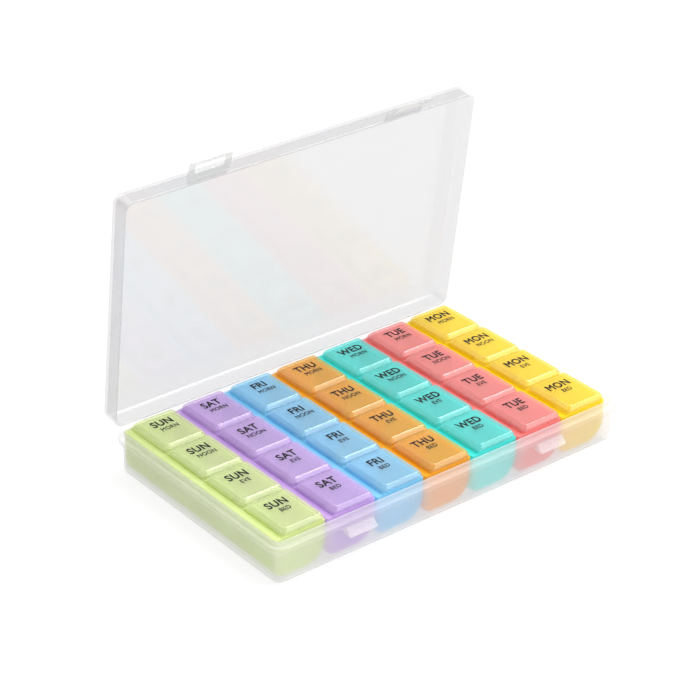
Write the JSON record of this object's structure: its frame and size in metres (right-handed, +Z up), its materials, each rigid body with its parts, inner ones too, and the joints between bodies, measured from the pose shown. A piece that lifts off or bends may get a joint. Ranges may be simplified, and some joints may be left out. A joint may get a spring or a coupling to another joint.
{
  "type": "travel pill organizer",
  "caption": "Flat translucent travel case with a hinged lid and two latches, holding lift-out coloured day trays whose compartments each have a flip lid.",
  "frame": {"origin": "middle of the case base's underside, on the surface that it stands on", "axes": "+Z up; +X along the case from the first day tray to the last; -Y towards the latches, +Y towards the case lid's hinge"},
  "size_m": [0.2252, 0.1534, 0.1704],
  "materials": {
    "clear_shell": "translucent frosted polypropylene",
    "sunday_plastic": "tinted translucent polypropylene, satin",
    "saturday_plastic": "tinted translucent polypropylene, satin",
    "friday_plastic": "tinted translucent polypropylene, satin",
    "thursday_plastic": "tinted translucent polypropylene, satin",
    "wednesday_plastic": "tinted translucent polypropylene, satin",
    "tuesday_plastic": "tinted translucent polypropylene, satin",
    "monday_plastic": "tinted translucent polypropylene, satin"
  },
  "bodies": {
    "case_base": {"case_base": "clear_shell"},
    "case_lid": {"case_lid": "clear_shell"},
    "left_latch": {"left_latch": "clear_shell"},
    "right_latch": {"right_latch": "clear_shell"},
    "sunday_tray": {"sunday_tray": "sunday_plastic"},
    "saturday_tray": {"saturday_tray": "saturday_plastic"},
    "friday_tray": {"friday_tray": "friday_plastic"},
    "thursday_tray": {"thursday_tray": "thursday_plastic"},
    "wednesday_tray": {"wednesday_tray": "wednesday_plastic"},
    "tuesday_tray": {"tuesday_tray": "tuesday_plastic"},
    "monday_tray": {"monday_tray": "monday_plastic"},
    "sunday_morning_lid": {"sunday_morning_lid": "sunday_plastic"},
    "sunday_noon_lid": {"sunday_noon_lid": "sunday_plastic"},
    "sunday_evening_lid": {"sunday_evening_lid": "sunday_plastic"},
    "sunday_bedtime_lid": {"sunday_bedtime_lid": "sunday_plastic"},
    "saturday_morning_lid": {"saturday_morning_lid": "saturday_plastic"},
    "saturday_noon_lid": {"saturday_noon_lid": "saturday_plastic"},
    "saturday_evening_lid": {"saturday_evening_lid": "saturday_plastic"},
    "saturday_bedtime_lid": {"saturday_bedtime_lid": "saturday_plastic"},
    "friday_morning_lid": {"friday_morning_lid": "friday_plastic"},
    "friday_noon_lid": {"friday_noon_lid": "friday_plastic"},
    "friday_evening_lid": {"friday_evening_lid": "friday_plastic"},
    "friday_bedtime_lid": {"friday_bedtime_lid": "friday_plastic"},
    "thursday_morning_lid": {"thursday_morning_lid": "thursday_plastic"},
    "thursday_noon_lid": {"thursday_noon_lid": "thursday_plastic"},
    "thursday_evening_lid": {"thursday_evening_lid": "thursday_plastic"},
    "thursday_bedtime_lid": {"thursday_bedtime_lid": "thursday_plastic"},
    "wednesday_morning_lid": {"wednesday_morning_lid": "wednesday_plastic"},
    "wednesday_noon_lid": {"wednesday_noon_lid": "wednesday_plastic"},
    "wednesday_evening_lid": {"wednesday_evening_lid": "wednesday_plastic"},
    "wednesday_bedtime_lid": {"wednesday_bedtime_lid": "wednesday_plastic"},
    "tuesday_morning_lid": {"tuesday_morning_lid": "tuesday_plastic"},
    "tuesday_noon_lid": {"tuesday_noon_lid": "tuesday_plastic"},
    "tuesday_evening_lid": {"tuesday_evening_lid": "tuesday_plastic"},
    "tuesday_bedtime_lid": {"tuesday_bedtime_lid": "tuesday_plastic"},
    "monday_morning_lid": {"monday_morning_lid": "monday_plastic"},
    "monday_noon_lid": {"monday_noon_lid": "monday_plastic"},
    "monday_evening_lid": {"monday_evening_lid": "monday_plastic"},
    "monday_bedtime_lid": {"monday_bedtime_lid": "monday_plastic"}
  },
  "joints": [
    {"name": "case_lid_hinge", "type": "hinge", "parent": "case_base", "child": "case_lid", "pos_m": [0, 0.0698, 0.0216], "axis": [-1, 0, 0], "range_deg": [-81.5, 98.5]},
    {"name": "left_latch_hinge", "type": "hinge", "parent": "case_lid", "child": "left_latch", "pos_m": [-0.062, 0.04981, 0.16007], "axis": [-1, 0, 0], "range_deg": [-79, 101]},
    {"name": "right_latch_hinge", "type": "hinge", "parent": "case_lid", "child": "right_latch", "pos_m": [0.062, 0.04981, 0.16007], "axis": [-1, 0, 0], "range_deg": [-48, 132]},
    {"name": "sunday_tray_lift", "type": "slide", "parent": "case_base", "child": "sunday_tray", "axis": [0, 0, 1], "range_m": [0, 0.04]},
    {"name": "saturday_tray_lift", "type": "slide", "parent": "case_base", "child": "saturday_tray", "axis": [0, 0, 1], "range_m": [0, 0.04]},
    {"name": "friday_tray_lift", "type": "slide", "parent": "case_base", "child": "friday_tray", "axis": [0, 0, 1], "range_m": [0, 0.04]},
    {"name": "thursday_tray_lift", "type": "slide", "parent": "case_base", "child": "thursday_tray", "axis": [0, 0, 1], "range_m": [0, 0.04]},
    {"name": "wednesday_tray_lift", "type": "slide", "parent": "case_base", "child": "wednesday_tray", "axis": [0, 0, 1], "range_m": [0, 0.04]},
    {"name": "tuesday_tray_lift", "type": "slide", "parent": "case_base", "child": "tuesday_tray", "axis": [0, 0, 1], "range_m": [0, 0.04]},
    {"name": "monday_tray_lift", "type": "slide", "parent": "case_base", "child": "monday_tray", "axis": [0, 0, 1], "range_m": [0, 0.04]},
    {"name": "sunday_morning_lid_hinge", "type": "hinge", "parent": "sunday_tray", "child": "sunday_morning_lid", "pos_m": [-0.1045, 0.04904, 0.02435], "axis": [0, -1, 0], "range_deg": [0, 105]},
    {"name": "sunday_noon_lid_hinge", "type": "hinge", "parent": "sunday_tray", "child": "sunday_noon_lid", "pos_m": [-0.1045, 0.01671, 0.02435], "axis": [0, -1, 0], "range_deg": [0, 105]},
    {"name": "sunday_evening_lid_hinge", "type": "hinge", "parent": "sunday_tray", "child": "sunday_evening_lid", "pos_m": [-0.1045, -0.01561, 0.02435], "axis": [0, -1, 0], "range_deg": [0, 105]},
    {"name": "sunday_bedtime_lid_hinge", "type": "hinge", "parent": "sunday_tray", "child": "sunday_bedtime_lid", "pos_m": [-0.1045, -0.04794, 0.02435], "axis": [0, -1, 0], "range_deg": [0, 105]},
    {"name": "saturday_morning_lid_hinge", "type": "hinge", "parent": "saturday_tray", "child": "saturday_morning_lid", "pos_m": [-0.07385, 0.04904, 0.02435], "axis": [0, -1, 0], "range_deg": [0, 105]},
    {"name": "saturday_noon_lid_hinge", "type": "hinge", "parent": "saturday_tray", "child": "saturday_noon_lid", "pos_m": [-0.07385, 0.01671, 0.02435], "axis": [0, -1, 0], "range_deg": [0, 105]},
    {"name": "saturday_evening_lid_hinge", "type": "hinge", "parent": "saturday_tray", "child": "saturday_evening_lid", "pos_m": [-0.07385, -0.01561, 0.02435], "axis": [0, -1, 0], "range_deg": [0, 105]},
    {"name": "saturday_bedtime_lid_hinge", "type": "hinge", "parent": "saturday_tray", "child": "saturday_bedtime_lid", "pos_m": [-0.07385, -0.04794, 0.02435], "axis": [0, -1, 0], "range_deg": [0, 105]},
    {"name": "friday_morning_lid_hinge", "type": "hinge", "parent": "friday_tray", "child": "friday_morning_lid", "pos_m": [-0.0432, 0.04904, 0.02435], "axis": [0, -1, 0], "range_deg": [0, 105]},
    {"name": "friday_noon_lid_hinge", "type": "hinge", "parent": "friday_tray", "child": "friday_noon_lid", "pos_m": [-0.0432, 0.01671, 0.02435], "axis": [0, -1, 0], "range_deg": [0, 105]},
    {"name": "friday_evening_lid_hinge", "type": "hinge", "parent": "friday_tray", "child": "friday_evening_lid", "pos_m": [-0.0432, -0.01561, 0.02435], "axis": [0, -1, 0], "range_deg": [0, 105]},
    {"name": "friday_bedtime_lid_hinge", "type": "hinge", "parent": "friday_tray", "child": "friday_bedtime_lid", "pos_m": [-0.0432, -0.04794, 0.02435], "axis": [0, -1, 0], "range_deg": [0, 105]},
    {"name": "thursday_morning_lid_hinge", "type": "hinge", "parent": "thursday_tray", "child": "thursday_morning_lid", "pos_m": [-0.01255, 0.04904, 0.02435], "axis": [0, -1, 0], "range_deg": [0, 105]},
    {"name": "thursday_noon_lid_hinge", "type": "hinge", "parent": "thursday_tray", "child": "thursday_noon_lid", "pos_m": [-0.01255, 0.01671, 0.02435], "axis": [0, -1, 0], "range_deg": [0, 105]},
    {"name": "thursday_evening_lid_hinge", "type": "hinge", "parent": "thursday_tray", "child": "thursday_evening_lid", "pos_m": [-0.01255, -0.01561, 0.02435], "axis": [0, -1, 0], "range_deg": [0, 105]},
    {"name": "thursday_bedtime_lid_hinge", "type": "hinge", "parent": "thursday_tray", "child": "thursday_bedtime_lid", "pos_m": [-0.01255, -0.04794, 0.02435], "axis": [0, -1, 0], "range_deg": [0, 105]},
    {"name": "wednesday_morning_lid_hinge", "type": "hinge", "parent": "wednesday_tray", "child": "wednesday_morning_lid", "pos_m": [0.0181, 0.04904, 0.02435], "axis": [0, -1, 0], "range_deg": [0, 105]},
    {"name": "wednesday_noon_lid_hinge", "type": "hinge", "parent": "wednesday_tray", "child": "wednesday_noon_lid", "pos_m": [0.0181, 0.01671, 0.02435], "axis": [0, -1, 0], "range_deg": [0, 105]},
    {"name": "wednesday_evening_lid_hinge", "type": "hinge", "parent": "wednesday_tray", "child": "wednesday_evening_lid", "pos_m": [0.0181, -0.01561, 0.02435], "axis": [0, -1, 0], "range_deg": [0, 105]},
    {"name": "wednesday_bedtime_lid_hinge", "type": "hinge", "parent": "wednesday_tray", "child": "wednesday_bedtime_lid", "pos_m": [0.0181, -0.04794, 0.02435], "axis": [0, -1, 0], "range_deg": [0, 105]},
    {"name": "tuesday_morning_lid_hinge", "type": "hinge", "parent": "tuesday_tray", "child": "tuesday_morning_lid", "pos_m": [0.04875, 0.04904, 0.02435], "axis": [0, -1, 0], "range_deg": [0, 105]},
    {"name": "tuesday_noon_lid_hinge", "type": "hinge", "parent": "tuesday_tray", "child": "tuesday_noon_lid", "pos_m": [0.04875, 0.01671, 0.02435], "axis": [0, -1, 0], "range_deg": [0, 105]},
    {"name": "tuesday_evening_lid_hinge", "type": "hinge", "parent": "tuesday_tray", "child": "tuesday_evening_lid", "pos_m": [0.04875, -0.01561, 0.02435], "axis": [0, -1, 0], "range_deg": [0, 105]},
    {"name": "tuesday_bedtime_lid_hinge", "type": "hinge", "parent": "tuesday_tray", "child": "tuesday_bedtime_lid", "pos_m": [0.04875, -0.04794, 0.02435], "axis": [0, -1, 0], "range_deg": [0, 105]},
    {"name": "monday_morning_lid_hinge", "type": "hinge", "parent": "monday_tray", "child": "monday_morning_lid", "pos_m": [0.0794, 0.04904, 0.02435], "axis": [0, -1, 0], "range_deg": [0, 105]},
    {"name": "monday_noon_lid_hinge", "type": "hinge", "parent": "monday_tray", "child": "monday_noon_lid", "pos_m": [0.0794, 0.01671, 0.02435], "axis": [0, -1, 0], "range_deg": [0, 105]},
    {"name": "monday_evening_lid_hinge", "type": "hinge", "parent": "monday_tray", "child": "monday_evening_lid", "pos_m": [0.0794, -0.01561, 0.02435], "axis": [0, -1, 0], "range_deg": [0, 105]},
    {"name": "monday_bedtime_lid_hinge", "type": "hinge", "parent": "monday_tray", "child": "monday_bedtime_lid", "pos_m": [0.0794, -0.04794, 0.02435], "axis": [0, -1, 0], "range_deg": [0, 105]}
  ]
}
